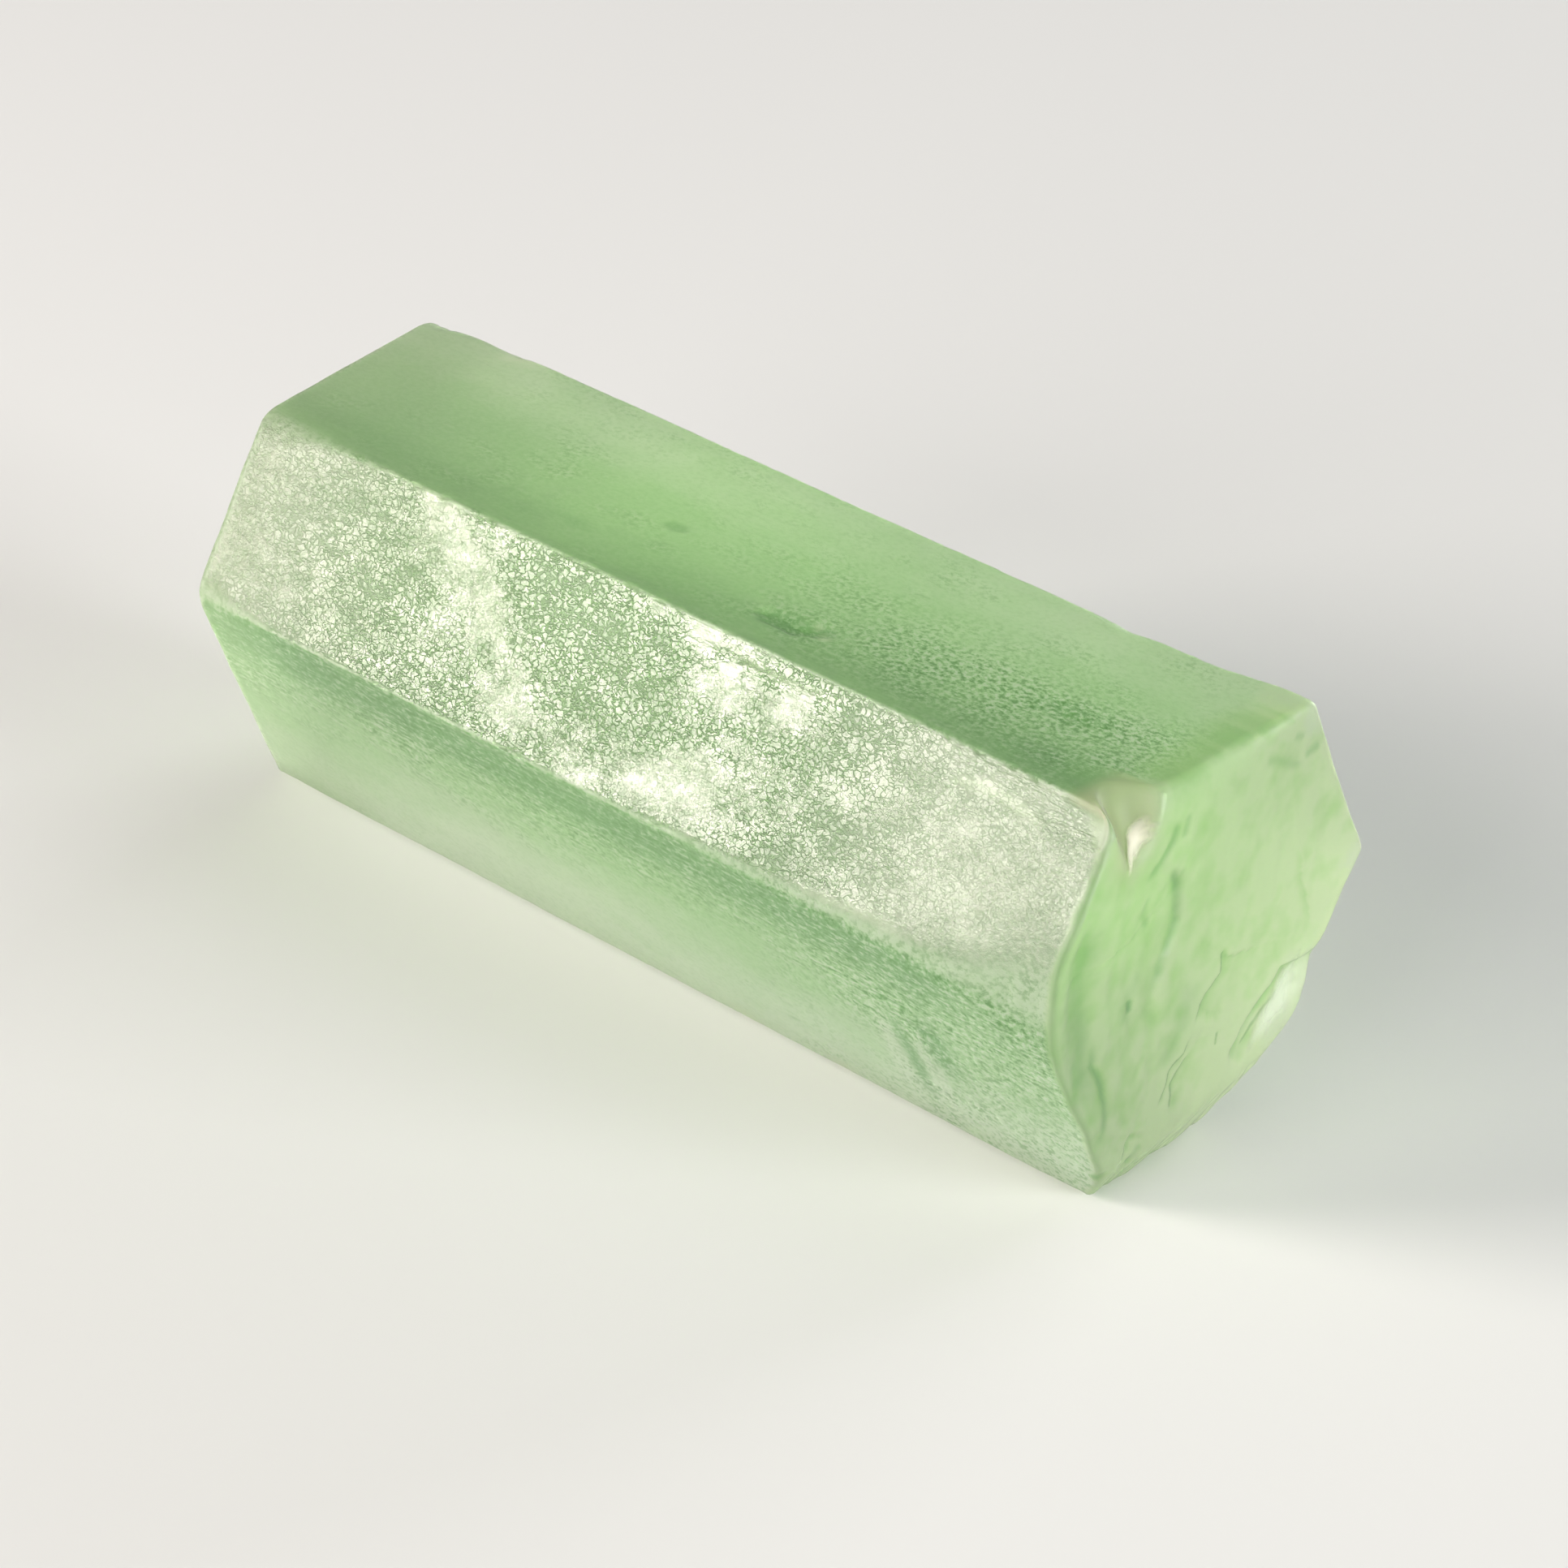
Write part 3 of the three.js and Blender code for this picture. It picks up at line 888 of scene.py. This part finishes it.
def sheet_shape(middle, half_size, turn, bend, over):
    """A closed lens of rings from its front middle to its back middle, and for each point 1 at
    the middle and 0 at the edge."""
    angle = 2 * math.pi * np.arange(SHEET_SIDES) / SHEET_SIDES
    (slow, slow_height), (fast, fast_height) = SHEET_WAVES
    ragged = 1 + slow_height * np.sin(slow * angle + bend * 9)
    ragged += fast_height * np.sin(fast * angle + turn)
    lean = math.radians(turn)
    rings = []
    for step in range(1, 2 * SHEET_RINGS):
        reach = 1 - abs(step - SHEET_RINGS) / SHEET_RINGS
        side = np.sign(SHEET_RINGS - step)
        long = reach * ragged * np.cos(angle) * half_size[0]
        wide = reach * ragged * np.sin(angle) * half_size[1] + bend * long ** 2 / half_size[0]
        first = middle[0] + long * math.cos(lean) - wide * math.sin(lean)
        second = middle[1] + long * math.sin(lean) + wide * math.cos(lean)
        outward = over + side * SHEET_THICKNESS * (1 - reach ** 2)
        rings.append(np.column_stack((broken_end(first, second) + outward, first, second)))
    tips = [ring.mean(axis=0)[None] for ring in (rings[0], rings[-1])]
    points = np.concatenate([tips[0]] + rings + [tips[1]])
    polygons = []
    for i in range(SHEET_SIDES):
        j = (i + 1) % SHEET_SIDES
        polygons.append((0, 1 + i, 1 + j))
        for ring in range(len(rings) - 1):
            a = 1 + ring * SHEET_SIDES
            b = a + SHEET_SIDES
            polygons.append((a + i, b + i, b + j, a + j))
        last = len(points) - 1 - SHEET_SIDES
        polygons.append((len(points) - 1, last + j, last + i))
    inward = np.abs(np.arange(1, 2 * SHEET_RINGS) - SHEET_RINGS) / SHEET_RINGS
    core = np.concatenate(([1], np.repeat(inward, SHEET_SIDES), [1]))
    return points, polygons, core


# ---- Finishes


def add_node(tree, kind, inputs=(), **settings):
    """A new node, with its inputs set to values or linked to other nodes' outputs."""
    node = tree.nodes.new(kind)
    for name, value in settings.items():
        setattr(node, name, value)
    for key, value in dict(inputs).items():
        if isinstance(value, bpy.types.NodeSocket):
            tree.links.new(value, node.inputs[key])
        else:
            node.inputs[key].default_value = value
    return node


def calc(tree, operation, *values, **settings):
    node = add_node(tree, "ShaderNodeMath", enumerate(values), operation=operation, **settings)
    return node.outputs[0]


def soft_step(tree, value, low, high):
    """0 below low, 1 above high; high may be the lower of the two."""
    inputs = {"Value": value, "From Min": low, "From Max": high}
    node = add_node(tree, "ShaderNodeMapRange", inputs, interpolation_type="SMOOTHSTEP")
    return node.outputs["Result"]


def rescale(tree, value, low, high):
    inputs = {"Value": value, "To Min": low, "To Max": high}
    return add_node(tree, "ShaderNodeMapRange", inputs).outputs["Result"]


def stretched(tree, at, size):
    """Positions in millimetres, divided by a size that may differ by axis."""
    inputs = {0: at, 1: tuple(1 / side for side in size)}
    return add_node(tree, "ShaderNodeVectorMath", inputs, operation="MULTIPLY").outputs[0]


def noise(tree, at, size, detail=2.0, roughness=0.5):
    inputs = {"Vector": stretched(tree, at, size), "Scale": 1.0, "Detail": detail,
              "Roughness": roughness}
    return add_node(tree, "ShaderNodeTexNoise", inputs)


def mix_values(tree, share, first, second):
    return add_node(tree, "ShaderNodeMix", {0: share, 2: first, 3: second}).outputs[0]


def blend(tree, share, first, second):
    """A colour between two, by share."""
    node = add_node(tree, "ShaderNodeMix", {0: share}, data_type="RGBA")
    for socket, value in ((node.inputs[6], first), (node.inputs[7], second)):
        if isinstance(value, bpy.types.NodeSocket):
            tree.links.new(value, socket)
        else:
            socket.default_value = value
    return node.outputs[2]


def group(name, inputs, outputs):
    """An empty node group with named sockets, and its input and output nodes."""
    tree = bpy.data.node_groups.new(name, "ShaderNodeTree")
    for socket, kind, value in inputs:
        made = tree.interface.new_socket(socket, in_out="INPUT", socket_type=kind)
        if value is not None:
            made.default_value = value
    for socket, kind in outputs:
        tree.interface.new_socket(socket, in_out="OUTPUT", socket_type=kind)
    return tree, tree.nodes.new("NodeGroupInput").outputs, tree.nodes.new("NodeGroupOutput").inputs


def scaled(tree, at, size):
    """Positions divided by a size that is a socket."""
    inputs = {0: at, 3: calc(tree, "DIVIDE", 1.0, size)}
    return add_node(tree, "ShaderNodeVectorMath", inputs, operation="SCALE").outputs[0]


def etched_plates():
    """Shiny plates of the old face, parted by a net of fine etched grooves."""
    tree, given, result = group(
        "etched_plates",
        (("Position", "NodeSocketVector", None),
         ("Plate Size", "NodeSocketFloat", 0.17),
         ("Cover", "NodeSocketFloat", 0.5)),
        (("Groove", "NodeSocketFloat"),))
    at = scaled(tree, given["Position"], given["Plate Size"])
    wander = noise(tree, at, (1.2, 0.8, 0.8), 1.0, 0.6).outputs["Color"]
    inputs = {0: wander, 1: (1.9, 1.9, 1.9), 2: at}
    place = add_node(tree, "ShaderNodeVectorMath", inputs, operation="MULTIPLY_ADD").outputs[0]
    inputs = {"Vector": stretched(tree, place, (1.25, 1.0, 1.0)), "Scale": 1.0}
    plates = add_node(tree, "ShaderNodeTexVoronoi", inputs, feature="DISTANCE_TO_EDGE")
    width = rescale(tree, given["Cover"], 0.14, -0.10)
    groove = soft_step(tree, calc(tree, "SUBTRACT", plates.outputs["Distance"], width), 0.06, -0.06)
    tree.links.new(groove, result["Groove"])
    return tree


def etch_grain():
    """Fine hillocks and pits, and fine lines along the crystal where it has streaks."""
    tree, given, result = group(
        "etch_grain",
        (("Position", "NodeSocketVector", None),
         ("Grain Size", "NodeSocketFloat", 0.14),
         ("Streaks", "NodeSocketFloat", 0.0)),
        (("Height", "NodeSocketFloat"),))
    at = scaled(tree, given["Position"], given["Grain Size"])
    grains = noise(tree, at, (1.25, 1.0, 1.0), 3.0, 0.65).outputs["Fac"]
    lines = noise(tree, at, (4.5, 0.75, 0.75), 2.0).outputs["Fac"]
    share = calc(tree, "MULTIPLY", given["Streaks"], 0.65)
    tree.links.new(mix_values(tree, share, grains, lines), result["Height"])
    return tree


# The crystal as a substance.
BERYL_IOR = 1.577
BERYL_TRANSMISSION = 0.85
BERYL_COLOR = (0.42, 0.70, 0.21, 1)
BERYL_DENSITY = 80.0

# Colours of its skin; those in pairs run from the first to the second.
# Their pale ends carry painted highlights and glow as well as the crystal's own paler tone.
SIDE_COLORS = ((0.62, 0.80, 0.55, 1), (1.0, 1.0, 0.95, 1))
BREAK_COLORS = ((0.64, 0.84, 0.43, 1), (1.0, 1.0, 0.80, 1))
# The second, cream ends of the plate and silk colours are painted glare on the kept shiny face.
PLATE_COLORS = ((0.46, 0.58, 0.42, 1), (0.78, 0.75, 0.71, 1))
SILK_COLORS = ((0.47, 0.51, 0.43, 1), (0.85, 0.77, 0.78, 1))
# The dark of painted shade in pits, grooves, bands and hollows, and of dark blotches.
DARK_COLOR = (0.26, 0.46, 0.25, 1)
# Painted shade in the low spots of the grain, and painted glints on its high spots.
GRAIN_SHADE_COLOR = (0.13, 0.31, 0.10, 1)
GLINT_COLOR = (1, 1, 0.97, 1)
# Painted shade in the etched grooves of the shiny face.
GROOVE_SHADE_COLOR = (0.32, 0.44, 0.27, 1)
# Painted shade along the creases of the break's steps.
CREASE_SHADE_COLOR = (0.22, 0.40, 0.16, 1)
STAIN_COLOR = (1.0, 0.81, 0.71, 1)
# White of the bruises, and of painted highlights.
BRUISE_AND_HIGHLIGHT_COLOR = (1, 0.97, 0.90, 1)
CREASE_SHADE_STRENGTH = 0.6
STAIN_STRENGTH = 0.85

# Roughness of its skin, with pairs as above.
GRIT_ROUGHNESS = (0.5, 0.38)
PLATE_ROUGHNESS = (0.40, 0.17)
SILK_ROUGHNESS = 0.34
GROOVE_ROUGHNESS = 0.5
STAIN_ROUGHNESS = 0.65

# The grain's height: what it adds to the cover of the plates, and where it is painted with shade as
# speckles and with highlights as glints.
MOTTLE_GAIN = 2.6
MOTTLE_OFFSET = -1.32
GRAIN_SHADE_HEIGHTS = (0.53, 0.37)
GLINT_HEIGHTS = (0.51, 0.61)
GLINT_LOSS_IN_DARK = -0.35

# The fine relief that is too small for the mesh.
GRAIN_RELIEF = 3.4
SILK_SHARPNESS = 0.1
RELIEF_HEIGHT = 0.02 * MM

MARKS = (
    "broken", "plates", "cover", "matte", "crease", "streaks",
    "pale", "dark", "grit", "stain", "bruise_and_highlight",
)


def skin_roughness(tree, share, etching):
    plate = mix_values(tree, etching.kept, *PLATE_ROUGHNESS)
    plate = mix_values(tree, share["matte"], plate, SILK_ROUGHNESS)
    plate = mix_values(tree, etching.groove, plate, GROOVE_ROUGHNESS)
    rough = mix_values(tree, share["grit"], *GRIT_ROUGHNESS)
    rough = mix_values(tree, share["plates"], rough, plate)
    return mix_values(tree, share["stain"], rough, STAIN_ROUGHNESS)


def grit_color(tree, share, height):
    """The colour of the etched sides and of the break, with painted shade as dark speckles in the
    grain's low spots and painted highlights as bright glints on its high spots.
    """
    side = blend(tree, share["pale"], *SIDE_COLORS)
    end = blend(tree, share["pale"], *BREAK_COLORS)
    color = blend(tree, share["broken"], side, end)
    color = blend(tree, share["dark"], color, DARK_COLOR)
    # Painted shade: the grain's low spots darkened.
    grain_shade = calc(tree, "MULTIPLY", soft_step(tree, height, *GRAIN_SHADE_HEIGHTS), share["grit"])
    color = blend(tree, grain_shade, color, GRAIN_SHADE_COLOR)
    # Painted highlight: glints on the grain's high spots, fewer where the skin is dark.
    lit = calc(tree, "MULTIPLY_ADD", share["dark"], GLINT_LOSS_IN_DARK, 1.0)
    glint = calc(tree, "MULTIPLY", soft_step(tree, height, *GLINT_HEIGHTS), share["grit"])
    glint = calc(tree, "MULTIPLY", glint, lit)
    return blend(tree, glint, color, GLINT_COLOR)


def skin_color(tree, share, etching):
    """The grit's colour, with the shiny face and its painted glare, its grooves and the break's
    creases in painted shade, the stain, and bruises and painted highlights over it.
    """
    color = grit_color(tree, share, etching.height)
    # Painted glare: the kept shiny face turns cream.
    face = blend(tree, etching.kept, *PLATE_COLORS)
    silk = blend(tree, etching.kept, *SILK_COLORS)
    face = blend(tree, share["matte"], face, silk)
    color = blend(tree, share["plates"], color, face)
    # Painted shade in the etched grooves of the shiny face.
    color = blend(tree, etching.groove_on_face, color, GROOVE_SHADE_COLOR)
    # Painted shade along the thin step lines of the break.
    crease = soft_step(tree, share["crease"], 0.45, 0.85)
    crease = calc(tree, "MULTIPLY", crease, CREASE_SHADE_STRENGTH)
    color = blend(tree, crease, color, CREASE_SHADE_COLOR)
    stain = calc(tree, "MULTIPLY", share["stain"], STAIN_STRENGTH)
    color = blend(tree, stain, color, STAIN_COLOR)
    # Bruises whitened by knocks, and painted highlights.
    return blend(tree, share["bruise_and_highlight"], color, BRUISE_AND_HIGHLIGHT_COLOR)


def skin_normal(tree, share, etching):
    """The fine relief: the grain where it is gritty, less the grooves of the shiny face."""
    strength = calc(tree, "MULTIPLY", share["grit"], GRAIN_RELIEF)
    relief = calc(tree, "MULTIPLY", etching.height, strength)
    relief = calc(tree, "SUBTRACT", relief, etching.groove_on_face)
    inputs = {"Height": relief, "Distance": RELIEF_HEIGHT, "Strength": 1.0}
    return add_node(tree, "ShaderNodeBump", inputs).outputs["Normal"]


def skin_etching(tree, share):
    """The etching's grain and grooves, and how much of the shiny face they have kept."""
    place = add_node(tree, "ShaderNodeTexCoord").outputs["Object"]
    at = add_node(tree, "ShaderNodeVectorMath", {0: place, 3: 1 / MM}, operation="SCALE").outputs[0]
    plates = add_node(tree, "ShaderNodeGroup", {"Position": at, "Cover": share["cover"]},
                      node_tree=etched_plates())
    grain = add_node(tree, "ShaderNodeGroup", {"Position": at, "Streaks": share["streaks"]},
                     node_tree=etch_grain())
    groove = plates.outputs["Groove"]
    height = grain.outputs["Height"]
    sharpness = mix_values(tree, share["matte"], 1.0, SILK_SHARPNESS)
    groove_on_face = calc(tree, "MULTIPLY", groove, sharpness)
    groove_on_face = calc(tree, "MULTIPLY", groove_on_face, share["plates"])
    mottle = calc(tree, "MULTIPLY_ADD", height, MOTTLE_GAIN, MOTTLE_OFFSET)
    kept = calc(tree, "ADD", share["cover"], mottle, use_clamp=True)
    return SimpleNamespace(
        groove=groove, height=height, groove_on_face=groove_on_face, kept=kept)


def frosted_beryl():
    """See-through beryl under an etched skin, which follows the marks on the mesh."""
    material = bpy.data.materials.new("frosted_beryl")
    material.use_nodes = True
    tree = material.node_tree
    shader = tree.nodes["Principled BSDF"]
    shader.inputs["IOR"].default_value = BERYL_IOR
    shader.inputs["Transmission Weight"].default_value = BERYL_TRANSMISSION
    share = {
        name: add_node(tree, "ShaderNodeAttribute", attribute_name=name).outputs["Fac"]
        for name in MARKS}
    etching = skin_etching(tree, share)
    tree.links.new(skin_roughness(tree, share, etching), shader.inputs["Roughness"])
    tree.links.new(skin_color(tree, share, etching), shader.inputs["Base Color"])
    tree.links.new(skin_normal(tree, share, etching), shader.inputs["Normal"])
    body = tree.nodes.new("ShaderNodeVolumeAbsorption")
    body.inputs["Color"].default_value = BERYL_COLOR
    body.inputs["Density"].default_value = BERYL_DENSITY
    tree.links.new(body.outputs["Volume"], tree.nodes["Material Output"].inputs["Volume"])
    return material


# Each sheet's finish: the material's name, its colour and how much it hides at its middle.
SHEET_FINISHES = {
    # Painted highlight: the off-white of the crest's sheet.
    "crest_highlight": ("painted_crest_highlight", (0.68, 0.66, 0.54, 1), 0.9),
    "flake_film": ("healed_crack", (0.60, 0.65, 0.53, 1), 0.5),
}
SHEET_ROUGHNESS = 0.6


def white_sheet(name, color, most):
    """A white sheet that thins out to nothing at its edge: the painted highlight on the chip's
    crest, and the film of a healed crack.
    """
    material = bpy.data.materials.new(name)
    material.use_nodes = True
    tree = material.node_tree
    shader = tree.nodes["Principled BSDF"]
    shader.inputs["Base Color"].default_value = color
    shader.inputs["Roughness"].default_value = SHEET_ROUGHNESS
    core = add_node(tree, "ShaderNodeAttribute", attribute_name="core").outputs["Fac"]
    thickness = calc(tree, "MULTIPLY", soft_step(tree, core, 0.0, 0.9), most)
    tree.links.new(thickness, shader.inputs["Alpha"])
    return material


FLOOR_COLOR = (0.78, 0.78, 0.78, 1)
FLOOR_ROUGHNESS = 0.8


def pale_floor():
    material = bpy.data.materials.new("pale_floor")
    material.use_nodes = True
    shader = material.node_tree.nodes["Principled BSDF"]
    shader.inputs["Base Color"].default_value = FLOOR_COLOR
    shader.inputs["Roughness"].default_value = FLOOR_ROUGHNESS
    return material


crystal, origin = build_crystal()
crystal.data.materials.append(frosted_beryl())
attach(crystal, "root")
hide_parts(NODE)

for name, sheet in WHITE_SHEETS.items():
    points, polygons, core = sheet_shape(*sheet)
    piece = smooth_object(name, points - origin, polygons)
    attribute = piece.data.attributes.new("core", "FLOAT", "POINT")
    attribute.data.foreach_set("value", core)
    piece.data.materials.append(white_sheet(*SHEET_FINISHES[name]))
    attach(piece, "root")

# ---- Floor, lights and camera

SKY_COLOR = (0.92, 0.93, 0.93, 1)
SKY_STRENGTH = 0.15
FLOOR_SIZE = 3.0
FLOOR_GAP = 0.00001

# Each soft light: its direction from the crystal, its distance, its size, power and colour.
LIGHTS = {
    "key": ((-0.593, -0.736, 0.325), 0.35, 0.15, 1.45, (1.0, 0.92, 0.85)),
    "front": ((0.1, -0.97, 0.2), 0.5, 0.3, 2.0, (1.0, 0.97, 0.92)),
    "side": ((0.97, 0.2, 0.15), 0.45, 0.25, 3.3, (0.97, 1.0, 0.95)),
    "back": ((0.0, 0.98, 0.15), 0.5, 0.25, 1.7, (1.0, 1.0, 1.0)),
    "back_left": ((-0.6, 0.78, 0.15), 0.5, 0.25, 0.12, (1.0, 1.0, 1.0)),
    "top": ((0.1, 0.3, 0.95), 0.5, 0.3, 0.15, (1.0, 1.0, 1.0)),
}

CAMERA_AZIMUTH = math.radians(42.35)
CAMERA_ELEVATION = math.radians(28.354)
CAMERA_ROLL = math.radians(2.786)
CAMERA_DISTANCE = 0.15014
CAMERA_AIM = Vector((1.71, 0.11, 5.43)) * MM
SENSOR = 36.0
LENS = 135.9


def lay_floor():
    half = FLOOR_SIZE / 2
    square = ((-half, -half), (half, -half), (half, half), (-half, half))
    corners = [(x, y, -FLOOR_GAP) for x, y in square]
    plane = bpy.data.meshes.new("floor")
    plane.from_pydata(corners, [], [(0, 1, 2, 3)])
    plane.materials.append(pale_floor())
    floor = bpy.data.objects.new("floor", plane)
    bpy.context.scene.collection.objects.link(floor)


def light_studio():
    world = bpy.data.worlds.new("studio")
    world.use_nodes = True
    sky = world.node_tree.nodes["Background"]
    sky.inputs["Color"].default_value = SKY_COLOR
    sky.inputs["Strength"].default_value = SKY_STRENGTH
    bpy.context.scene.world = world
    for name, (way, distance, size, power, color) in LIGHTS.items():
        lamp = bpy.data.lights.new(name, "AREA")
        lamp.size = size
        lamp.energy = power
        lamp.color = color
        light = bpy.data.objects.new(name, lamp)
        way = Vector(way).normalized()
        light.location = CAMERA_AIM + way * distance
        light.rotation_euler = way.to_track_quat("Z", "Y").to_euler()
        bpy.context.scene.collection.objects.link(light)
    bpy.context.scene.view_settings.view_transform = "Standard"


def aim_camera():
    level = math.cos(CAMERA_ELEVATION)
    back = Vector((
        math.sin(CAMERA_AZIMUTH) * level,
        -math.cos(CAMERA_AZIMUTH) * level,
        math.sin(CAMERA_ELEVATION)))
    lens = bpy.data.cameras.new("camera")
    lens.sensor_width = SENSOR
    lens.lens = LENS
    lens.clip_start = MM
    camera = bpy.data.objects.new("camera", lens)
    turn = (-back).to_track_quat("-Z", "Y").to_matrix().to_4x4()
    place = Matrix.Translation(CAMERA_AIM + back * CAMERA_DISTANCE)
    camera.matrix_world = place @ turn @ Matrix.Rotation(CAMERA_ROLL, 4, "Z")
    bpy.context.scene.collection.objects.link(camera)
    bpy.context.scene.camera = camera


lay_floor()
light_studio()
aim_camera()
